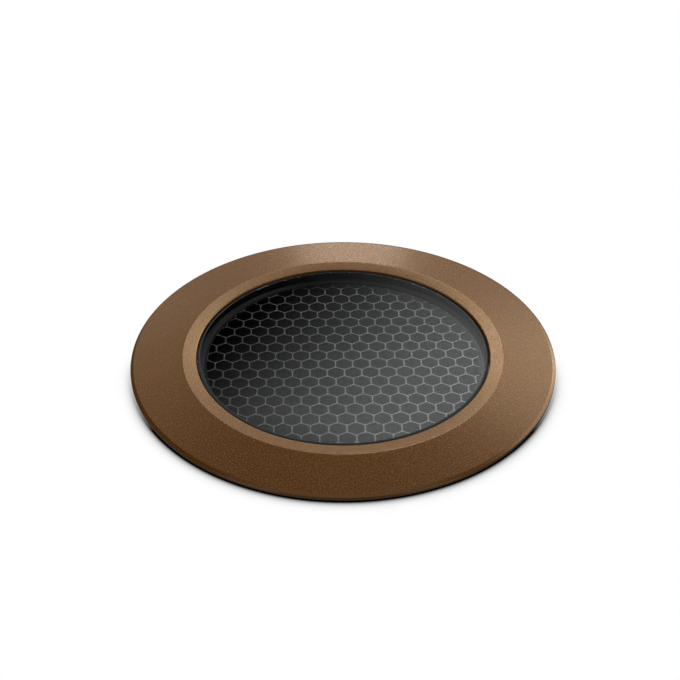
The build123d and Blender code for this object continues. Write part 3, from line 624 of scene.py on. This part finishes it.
class StageSettings(bpy.types.PropertyGroup):
    azimuth: angle("Azimuth", "Side that the camera stands on", 300.0)
    elevation: angle("Elevation", "Height of the camera over the ground", 36.759)
    distance: length("Distance", "Camera to the centre of the flange", 365.64 * MM)
    aim_right: length("Aim right", "Camera's aim, to the right of the centre", -0.892 * MM)
    aim_beyond: length("Aim beyond", "Camera's aim, beyond the centre", 7.743 * MM)
    focal: number("Focal length", "Lens of the camera in millimetres", 67.93)
    sky: number("Sky", "Soft light from all sides", 0.25)
    floor_segments: count("Floor segments", "Facets round the ground sheet", 96)
    floor_inner: length("Floor hole", "Hole in the ground sheet under the flange", 58.0 * MM)
    floor_outer: length("Floor edge", "Edge of the ground sheet", 66.0 * MM)
    apron_start: length("Apron start", "Where the sheet's rim starts to reach for the camera", 19.8 * MM)
    apron_reach: length("Apron reach", "Ground sheet towards the camera", 140.0 * MM)
    strip_half: length("Strip half width", "Half width of the white strip before the can", 47.0 * MM)
    shadow_reach: length("Shadow reach", "How far the contact shadow looks", 8.0 * MM)
    shadow_lean: angle("Shadow lean", "Height of the light that the contact shadow falls from", 30.0)
    shadow_near: number("Shadow near", "How near the camera's side the shadow is full, 1 on it", 0.55)
    shadow_samples: count("Shadow samples", "Rays that look for the flange", 32)
    shadow_black: number("Shadow black", "Open share of the light that counts as black", 0.485)
    shadow_white: number("Shadow white", "Open share of the light that counts as white", 0.87)
    floor_shade: colour("Floor", "Ground sheet, as it lights the object", (0.15, 0.15, 0.15))
    dome_radius: length("Dome radius", "Studio dome that gloss reflects", 8.0)
    panel: number("Panel", "Strength of the pale panel on the right", 0.9)
    panel_slant: number("Panel slant", "Lean of the panel's soft edge", 1.6)
    panel_level: number("Panel level", "Height in degrees where the edge crosses the view", 36.0)
    panel_start: number("Panel start", "Where the panel's soft edge starts, in degrees", -7.8)
    panel_full: number("Panel full", "Where the panel is full, in degrees", 11.0)
    panel_top: number("Panel top", "Height in degrees where the panel ends", 42.5)
    panel_top_slant: number("Panel top slant", "Rise of the panel's top to the right", 0.12)
    panel_top_level: number("Panel top level", "Swing in degrees where the panel's top is at its height", 8.0)
    panel_top_soft: number("Panel top softness", "Half the width of the panel's upper edge, in degrees", 1.5)
    panel_over: number("Over the panel", "What is left of the panel above its top", 0.02)
    panel_foot: number("Panel foot", "What is left of the panel at its foot", 0.5)
    horizon: number("Horizon", "Glow along the horizon", 0.4)
    left_glow: number("Left glow", "Glow far out on the left", 0.31)
    side_glow: number("Side glow", "Extra strength far out on the right", 3.6)
    sides: number("Sides", "Strength of the dome to both sides", 0.3)
    zenith: number("Zenith", "Faint glow straight overhead", 0.16)
    under: number("Under", "Strength of the dome below the horizon", 0.1)
    strips: number("Strips", "Extra strength of the four upright strips below the horizon", 0.8)


GROUPS = {
    "trim": TrimSettings,
    "lens": LensSettings,
    "louver": LouverSettings,
    "housing": HousingSettings,
    "lamp": LampSettings,
    "driver": DriverSettings,
    "stage": StageSettings,
}


# Operators

class MakeTrim(bpy.types.Operator):
    """Turns the bronze trim ring"""

    bl_idname = "ground_light.trim"
    bl_label = "Trim ring"

    def execute(self, context):
        size = context.scene.ground_light_trim
        fall = (size.crest_height - size.flange_edge) / (size.flange_radius - size.crest_radius)
        opening = (size.aperture_radius, size.aperture_height)
        foot = (size.skirt_radius, size.skirt_bottom)
        neck = (size.skirt_radius, 0.0)
        sole = (size.flange_radius, 0.0)
        rim = (size.flange_radius, size.flange_edge - size.edge_drop)
        brink = (size.flange_radius - size.edge_break, size.flange_edge + fall * size.edge_break)
        crest = (size.crest_radius, size.crest_height)
        section = [
            opening,
            (size.aperture_radius, size.lip_height),
            (size.pocket_radius, size.lip_height),
            (size.pocket_radius, size.groove_top),
            (size.groove_radius, size.groove_top),
            (size.groove_radius, size.groove_bottom),
            (size.pocket_radius, size.groove_bottom),
            (size.pocket_radius, size.shoulder),
            (size.thread_bore, size.shoulder),
            (size.thread_bore, size.skirt_bottom),
            foot, neck, sole, rim, brink, crest,
        ]
        ring = turned_ring("bronze_trim", section, size.segments)
        round_rings(ring, size.crest_round, 3, crest)
        round_rings(ring, size.aperture_round, 4, opening)
        round_rings(ring, size.edge_round, 2, rim, brink)
        round_rings(ring, size.foot_round, 3, foot, sole)
        round_rings(ring, 2 * size.foot_round, 3, neck)
        close_piece(ring)
        coat = finished(
            "bronze_coat", bronze_coat,
            dark=size.dark, light=size.light, ring=size.painted_sheen_ring, sheen=size.sheen, crest=size.crest_radius,
            grain=size.grain, roughness=size.roughness,
        )
        stand_in(ring, coat, "trim_ring")
        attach(ring, "trim")
        return {"FINISHED"}


class MakeLens(bpy.types.Operator):
    """Turns the glass and finishes its seals and rings"""

    bl_idname = "ground_light.lens"
    bl_label = "Lens and seals"

    def execute(self, context):
        size = context.scene.ground_light_lens
        self.make_glass(size)
        dress(
            "black_silicone", moulded, "seat_gasket", "base_gasket", "gland_o_ring", "gland_seal",
            colour=size.rubber, accent=1.8, grain=0.5 * MM, roughness=0.6,
        )
        dress(
            "slip_film", moulded, "slip_washer", "friction_washers",
            colour=size.film, accent=1.5, grain=0.4 * MM, roughness=0.42,
        )
        dress(
            "spring_steel", bright_metal, "snap_ring", "swivel_circlip",
            colour=size.spring, accent=0.75, grain=0.5 * MM, roughness=0.34,
        )
        return {"FINISHED"}

    def make_glass(self, size):
        """The clear glass, with a matt bevel round its raised face."""
        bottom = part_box("lens")[0].z
        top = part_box("lens")[1].z
        base = (size.rim_radius, bottom)
        shelf = (size.rim_radius, size.step_height)
        root = (size.boss_radius, size.step_height)
        shoulder = (size.boss_radius, top - size.arris)
        brow = (size.boss_radius - size.arris, top)
        glass = turned_plug("lens_glass", [base, shelf, root, shoulder, brow], size.segments)
        round_rings(glass, 0.25 * size.arris, 2, base, shelf, shoulder, brow)
        close_piece(glass, GLASS_ANGLE)
        clear = finished("clear_glass", clear_glass, tint=size.tint, roughness=0.0)
        stand_in(glass, clear, "lens")
        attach(glass, "lens_pack")
        glass.data.materials.append(finished("ground_glass", ground_glass, tint=size.ground, grain=0.2 * MM))
        bevel = 1.35 * size.arris
        flat = 0.0005 * size.arris
        for face in glass.data.polygons:
            outer = math.hypot(face.center.x, face.center.y) > size.boss_radius - bevel
            upper = top - bevel < face.center.z < top - flat
            face.material_index = 1 if outer and upper else 0
        glass.visible_shadow = False
        glass.visible_diffuse = False


class MakeLouver(bpy.types.Operator):
    """Cuts the honeycomb's rounded cells and finishes its frame"""

    bl_idname = "ground_light.louver"
    bl_label = "Honeycomb louver"

    def execute(self, context):
        size = context.scene.ground_light_louver
        low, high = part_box("honeycomb_louver")
        reach = high.x - size.rim
        cells = self.set_out_cells(size, high.x, low.z, high.z)
        bound = turned_plug("cell_bound", [(reach, 2 * low.z), (reach, -low.z)], size.segments)
        close_piece(bound)
        cut_with(cells, bound, "INTERSECT")
        core = turned_plug("honeycomb_core", [(high.x, low.z), (high.x, high.z)], size.segments)
        close_piece(core)
        cut_with(core, cells, "DIFFERENCE")
        bpy.ops.object.shade_smooth_by_angle(angle=SMOOTH_ANGLE)
        foil = finished(
            "black_honeycomb", honeycomb_foil, wall=size.wall, edge=size.edge, top=high.z, reach=reach
        )
        stand_in(core, foil, "honeycomb_louver")
        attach(core, "housing")
        dress(
            "grey_louver_frame", cast_coat, "louver_frame",
            dark=size.frame_dark, light=size.frame_light, grain=0.5 * MM, roughness=0.5,
        )
        return {"FINISHED"}

    def set_out_cells(self, size, reach, low, high):
        """One rounded cell as a tall plug, repeated in staggered rows that cover the core."""
        clear_selection()
        bpy.ops.mesh.primitive_circle_add(vertices=6, radius=1.0, fill_type="NGON")
        cells = bpy.context.object
        bpy.ops.object.mode_set(mode="EDIT")
        bpy.ops.mesh.select_mode(type="FACE")
        bpy.ops.mesh.select_all(action="SELECT")
        half_across = size.cell_width / math.sqrt(3)
        half_along = 2 * size.row_step / 3
        bpy.ops.transform.resize(value=(half_across, half_along, 1), center_override=(0, 0, 0))
        bpy.ops.mesh.inset(thickness=size.cell_wall / 2)
        bpy.ops.mesh.select_all(action="INVERT")
        bpy.ops.mesh.delete(type="FACE")
        bpy.ops.mesh.select_all(action="SELECT")
        bpy.ops.mesh.bevel(offset=size.cell_corner, offset_type="OFFSET", segments=3, affect="VERTICES")
        columns = int(reach / size.cell_width) + 2
        pairs = int(reach / size.row_step / 2) + 1
        first_across = (0.5 - columns) * size.cell_width + size.shift_across
        first_along = -2 * pairs * size.row_step + size.shift_along
        over = (high - low) / 10
        bpy.ops.transform.translate(value=(first_across, first_along, low - over))
        bpy.ops.mesh.extrude_region_move(TRANSFORM_OT_translate={"value": (0, 0, high - low + 2 * over)})
        bpy.ops.mesh.select_all(action="SELECT")
        bpy.ops.mesh.normals_make_consistent(inside=False)
        bpy.ops.object.mode_set(mode="OBJECT")
        repeat(2 * columns, (size.cell_width, 0, 0))
        repeat(2, (size.cell_width / 2, size.row_step, 0))
        repeat(2 * pairs + 1, (0, 2 * size.row_step, 0))
        cells.rotation_euler.z = size.turn
        bpy.ops.object.transform_apply(location=True, rotation=True, scale=True)
        return cells


class MakeHousing(bpy.types.Operator):
    """Finishes the buried can, its base cover, screws and cable gland"""

    bl_idname = "ground_light.housing"
    bl_label = "Housing and gland"

    def execute(self, context):
        shades = context.scene.ground_light_housing
        dress(
            "black_casting", cast_coat, "housing", "base_cover",
            dark=shades.dark, light=shades.light, grain=shades.grain, roughness=shades.roughness,
        )
        dress(
            "steel_screws", bright_metal,
            "base_screws", "driver_board_screws", "led_board_screws", "bezel_screws", "pivot_screws",
            colour=shades.steel, accent=0.7, grain=0.4 * MM, roughness=0.32,
        )
        dress(
            "black_gland", moulded, "gland_body", "gland_locknut", "gland_cap_nut",
            colour=shades.nylon, accent=1.6, grain=0.35 * MM, roughness=0.44,
        )
        return {"FINISHED"}


class MakeLamp(bpy.types.Operator):
    """Finishes the lamp head and makes its lead"""

    bl_idname = "ground_light.lamp"
    bl_label = "Lamp head"

    def execute(self, context):
        shades = context.scene.ground_light_lamp
        dress(
            "grey_casting", cast_coat, "swivel_ring",
            dark=shades.casting, light=toned(shades.casting, 1.3), grain=0.6 * MM, roughness=0.5,
        )
        dress(
            "bare_aluminium", turned_metal, "heat_sink",
            colour=shades.aluminium, accent=0.8, line=0.25 * MM, roughness=0.36,
        )
        dress(
            "black_bezel", cast_coat, "lamp_bezel",
            dark=shades.bezel, light=toned(shades.bezel, 1.8), grain=0.4 * MM, roughness=0.42,
        )
        dress(
            "white_board", board_mask, "led_board",
            colour=shades.board, trace=toned(shades.board, 0.85), pitch=5.0 * MM,
        )
        gel_radius = shades.gel_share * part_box("led_emitter")[1].x
        dress(
            "yellow_emitter", phosphor, "led_emitter",
            colour=shades.phosphor, ring=shades.board, radius=gel_radius,
        )
        dress(
            "bright_reflector", bright_metal, "reflector",
            colour=shades.mirror, accent=0.94, grain=0.8 * MM, roughness=0.14,
        )
        dress("clear_optic", clear_glass, "lamp_optic", tint=shades.optic, roughness=0.12)
        self.make_lead(shades)
        return {"FINISHED"}

    def make_lead(self, size):
        """The lead, in short lengths along its axis."""
        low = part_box("lamp_lead")[0].z
        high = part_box("lamp_lead")[1].z
        step = (high - low) / size.lead_steps
        section = [(size.lead_radius, low + step * index) for index in range(size.lead_steps + 1)]
        lead = turned_plug("lamp_lead_sheath", section, size.lead_segments)
        round_rings(lead, 0.2 * size.lead_radius, 2, section[0], section[-1])
        close_piece(lead)
        sheath = finished(
            "grey_lead", moulded, colour=size.lead, accent=1.2, grain=0.4 * MM, roughness=0.5
        )
        stand_in(lead, sheath, "lamp_lead")
        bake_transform(lead)


class MakeDriver(bpy.types.Operator):
    """Finishes the driver board and what is on it"""

    bl_idname = "ground_light.driver"
    bl_label = "Driver"

    def execute(self, context):
        shades = context.scene.ground_light_driver
        dress(
            "green_board", board_mask, "driver_board",
            colour=shades.mask, trace=shades.copper, pitch=4.0 * MM,
        )
        dress(
            "ferrite_core", moulded, "transformer", "choke",
            colour=shades.ferrite, accent=1.6, grain=0.6 * MM, roughness=0.55,
        )
        dress(
            "capacitor_can", moulded, "capacitors",
            colour=shades.can, accent=1.5, grain=0.5 * MM, roughness=0.35,
        )
        dress(
            "green_terminal", moulded, "terminal_block",
            colour=shades.terminal, accent=1.25, grain=0.5 * MM, roughness=0.45,
        )
        dress(
            "white_socket", moulded, "lead_socket",
            colour=shades.socket, accent=0.9, grain=0.5 * MM, roughness=0.45,
        )
        dress(
            "brass_standoffs", bright_metal, "driver_standoffs",
            colour=shades.brass, accent=0.8, grain=0.4 * MM, roughness=0.3,
        )
        return {"FINISHED"}


class MakeStage(bpy.types.Operator):
    """Sets the camera, the ground sheet, the studio dome and the lamps"""

    bl_idname = "ground_light.stage"
    bl_label = "Stage"

    def execute(self, context):
        size = context.scene.ground_light_stage
        context.scene.view_settings.view_transform = "Standard"
        toward = Vector((math.sin(size.azimuth), -math.cos(size.azimuth), 0.0))
        right = Vector((math.cos(size.azimuth), math.sin(size.azimuth), 0.0))
        self.set_camera(context, size, toward, right)
        self.set_world(context, size)
        self.lay_floor(size, toward, right)
        self.hang_dome(size, toward, right)
        for name, softbox in SOFTBOXES.items():
            self.hang_softbox(context, name, softbox, toward, right)
        return {"FINISHED"}

    def set_camera(self, context, size, toward, right):
        lens = bpy.data.cameras.new("photo_camera")
        lens.lens = size.focal
        lens.clip_start = 10 * MM
        camera = bpy.data.objects.new("photo_camera", lens)
        context.scene.collection.objects.link(camera)
        up = Vector((0.0, 0.0, size.distance * math.sin(size.elevation)))
        camera.location = toward * size.distance * math.cos(size.elevation) + up
        aim = right * size.aim_right - toward * size.aim_beyond
        camera.rotation_euler = (aim - camera.location).to_track_quat("-Z", "Y").to_euler()
        context.scene.camera = camera

    def set_world(self, context, size):
        """White to the camera, to gloss and through glass; a soft even light otherwise."""
        world = bpy.data.worlds.new("studio")
        context.scene.world = world
        world.use_nodes = True
        sheet = Sheet(world.node_tree)
        seen = seen_rays(sheet)
        strength = size.sky + seen * (1.0 - size.sky)
        glow = sheet.node("ShaderNodeBackground", sockets={"Color": WHITE, "Strength": strength})
        sheet.node("ShaderNodeOutputWorld", sockets={"Surface": glow})

    def lay_floor(self, size, toward, right):
        """A ground sheet round the flange that reaches out towards the camera."""
        ground = start_circle("ground_sheet", size.floor_inner, 0.0, size.floor_segments)
        draw_along([(size.floor_inner, 0.0), (size.floor_outer, 0.0)])
        bpy.ops.mesh.select_mode(type="EDGE")
        bpy.ops.mesh.select_all(action="DESELECT")
        mesh = bmesh.from_edit_mesh(ground.data)
        between = (size.floor_inner + size.floor_outer) / 2
        for edge in mesh.edges:
            middle = (edge.verts[0].co + edge.verts[1].co) / 2
            rim = all(end.co.length > between for end in edge.verts)
            edge.select_set(rim and middle.dot(toward) > size.apron_start)
        bmesh.update_edit_mesh(ground.data)
        reach = toward * (size.apron_reach - size.floor_outer)
        bpy.ops.mesh.extrude_region_move(TRANSFORM_OT_translate={"value": reach})
        bpy.ops.mesh.select_all(action="SELECT")
        bpy.ops.mesh.normals_make_consistent(inside=False)
        mesh = bmesh.from_edit_mesh(ground.data)
        if sum(face.normal.z for face in mesh.faces) < 0:
            bpy.ops.mesh.flip_normals()
        bpy.ops.object.mode_set(mode="OBJECT")
        ground.data.materials.append(self.ground_paper(size, toward, right))
        ground.visible_shadow = False
        ground.visible_glossy = False

    def ground_paper(self, size, toward, right):
        """Paper that only darkens round the flange, with a white strip before the buried can."""
        paper = bpy.data.materials.new("ground_paper")
        paper.use_nodes = True
        sheet = Sheet(paper.node_tree)
        at = place_of(sheet)
        radius = radius_of(sheet, at)
        inward = -math.cos(size.shadow_lean) / radius
        level = {0: axis_of(sheet, at, "X") * inward, 1: axis_of(sheet, at, "Y") * inward}
        lamp_side = sheet.node("ShaderNodeCombineXYZ", sockets={**level, 2: math.sin(size.shadow_lean)})
        sockets = {"Color": WHITE, "Distance": size.shadow_reach, "Normal": lamp_side}
        open_sky = sheet.node("ShaderNodeAmbientOcclusion", {"samples": size.shadow_samples}, sockets, "AO")
        near_side = share(sheet, along(sheet, at, toward) / radius, 0.0, size.shadow_near)
        shade = 1.0 - near_side * share(sheet, open_sky, size.shadow_white, size.shadow_black)
        aside = along(sheet, at, right)
        strip = (aside * aside < size.strip_half ** 2) * (along(sheet, at, toward) > 0.0)
        clear = sheet.node("ShaderNodeBsdfTransparent")
        white = sheet.node("ShaderNodeEmission", sockets={"Color": WHITE, "Strength": 1.0})
        black = sheet.node("ShaderNodeEmission", sockets={"Color": BLACK, "Strength": 0.0})
        behind = sheet.node("ShaderNodeMixShader", sockets={0: strip, 1: clear, 2: white})
        shaded = sheet.node("ShaderNodeMixShader", sockets={0: shade, 1: black, 2: behind})
        matt = sheet.node("ShaderNodeBsdfDiffuse", sockets={"Color": solid(size.floor_shade)})
        lit = sheet.node("ShaderNodeMixShader", sockets={0: seen_rays(sheet), 1: matt, 2: shaded})
        below = sheet.node("ShaderNodeNewGeometry", output="Backfacing")
        surface = sheet.node("ShaderNodeMixShader", sockets={0: below, 1: lit, 2: clear})
        sheet.node("ShaderNodeOutputMaterial", sockets={"Surface": surface})
        paper.cycles.emission_sampling = "NONE"
        return paper

    def hang_dome(self, size, toward, right):
        """A dome that only gloss and glass see."""
        clear_selection()
        bpy.ops.mesh.primitive_uv_sphere_add(segments=64, ring_count=32, radius=size.dome_radius)
        dome = bpy.context.object
        dome.name = "studio_dome"
        cloth = bpy.data.materials.new("dome_cloth")
        cloth.use_nodes = True
        sheet = Sheet(cloth.node_tree)
        strength = self.dome_strength(sheet, size, toward, right)
        glow = sheet.node("ShaderNodeEmission", sockets={"Color": WHITE, "Strength": strength})
        sheet.node("ShaderNodeOutputMaterial", sockets={"Surface": glow})
        cloth.cycles.emission_sampling = "NONE"
        dome.data.materials.append(cloth)
        dome.visible_camera = False
        dome.visible_diffuse = False
        dome.visible_shadow = False
        dome.visible_volume_scatter = False

    def dome_strength(self, sheet, size, toward, right):
        """A pale panel on the right, dark over it, a faint glow overhead and soft strips below."""
        at = place_of(sheet)
        level = {0: along(sheet, at, right), 1: along(sheet, at, -toward)}
        swing = sheet.node("ShaderNodeMath", {"operation": "ARCTAN2"}, level) * DEGREES
        height = axis_of(sheet, at, "Z") / size.dome_radius
        rise = sheet.node("ShaderNodeMath", {"operation": "ARCSINE"}, {0: height}) * DEGREES
        upright = sheet.node("ShaderNodeMath", {"operation": "COSINE"}, {0: STRIP_COUNT / DEGREES * swing})
        measures = {"swing": swing, "rise": rise, "around": swing * swing, "upright": upright}
        edge = swing + size.panel_slant * (rise - size.panel_level)
        panel = share(sheet, edge, size.panel_start, size.panel_full, "SMOOTHSTEP")
        lid = rise - size.panel_top_slant * (swing - size.panel_top_level)
        lid = share(sheet, lid, size.panel_top + size.panel_top_soft, size.panel_top - size.panel_top_soft)
        ceiling = size.panel_over + (1.0 - size.panel_over) * lid
        footing = size.panel_foot + faded(sheet, 1.0 - size.panel_foot, measures, FOOT_EDGES)
        horizon = faded(sheet, size.horizon, measures, HORIZON_EDGES)
        left_glow = faded(sheet, size.left_glow, measures, LEFT_EDGES)
        side_glow = faded(sheet, size.side_glow, measures, RIGHT_EDGES)
        studio = horizon + left_glow + (size.panel + side_glow) * panel * ceiling * footing
        ahead = faded(sheet, 1.0, measures, AHEAD_EDGES)
        sides = faded(sheet, size.sides, measures, SIDE_EDGES)
        above = studio * ahead + sides * (1.0 - ahead) + faded(sheet, size.zenith, measures, ZENITH_EDGES)
        below = size.under + faded(sheet, size.strips, measures, STRIP_EDGES)
        return below + faded(sheet, 1.0, measures, GROUND_EDGES) * (above - below)

    def hang_softbox(self, context, name, softbox, toward, right):
        """A softbox on the far side of the view, aimed at the flange."""
        lamp = bpy.data.lights.new(name, "AREA")
        lamp.shape = "RECTANGLE"
        lamp.size, lamp.size_y = softbox["face"]
        lamp.energy = softbox["energy"]
        box = bpy.data.objects.new(name, lamp)
        context.scene.collection.objects.link(box)
        swing = math.radians(softbox["swing"])
        rise = math.radians(softbox["rise"])
        level = -toward * math.cos(swing) + right * math.sin(swing)
        up = Vector((0.0, 0.0, math.sin(rise)))
        box.location = (level * math.cos(rise) + up) * softbox["distance"]
        box.rotation_euler = (-box.location).to_track_quat("-Z", "Y").to_euler()
        box.visible_glossy = softbox["gloss"]
        box.visible_transmission = softbox["gloss"]
        if "lit" in softbox:
            light_only(box, softbox["lit"])


class GroundLightPanel(bpy.types.Panel):
    """Buttons that make the light's pieces and its stage"""

    bl_idname = "VIEW3D_PT_ground_light"
    bl_label = "Ground light"
    bl_space_type = "VIEW_3D"
    bl_region_type = "UI"
    bl_category = "Ground light"

    def draw(self, context):
        for operator in OPERATORS:
            self.layout.operator(operator.bl_idname, text=operator.bl_label)
        for key in GROUPS:
            box = self.layout.box()
            box.label(text=key.capitalize())
            settings = getattr(context.scene, "ground_light_" + key)
            for name in settings.__annotations__:
                box.prop(settings, name)


OPERATORS = (MakeTrim, MakeLens, MakeLouver, MakeHousing, MakeLamp, MakeDriver, MakeStage)


def register():
    for group in GROUPS.values():
        bpy.utils.register_class(group)
    for key, group in GROUPS.items():
        setattr(bpy.types.Scene, "ground_light_" + key, PointerProperty(type=group))
    for operator in OPERATORS:
        bpy.utils.register_class(operator)
    bpy.utils.register_class(GroundLightPanel)


def unregister():
    bpy.utils.unregister_class(GroundLightPanel)
    for operator in reversed(OPERATORS):
        bpy.utils.unregister_class(operator)
    for key in GROUPS:
        delattr(bpy.types.Scene, "ground_light_" + key)
    for group in reversed(list(GROUPS.values())):
        bpy.utils.unregister_class(group)


def main():
    register()
    bpy.ops.ground_light.trim()
    bpy.ops.ground_light.lens()
    bpy.ops.ground_light.louver()
    bpy.ops.ground_light.housing()
    bpy.ops.ground_light.lamp()
    bpy.ops.ground_light.driver()
    bpy.ops.ground_light.stage()


if __name__ == "__main__":
    main()
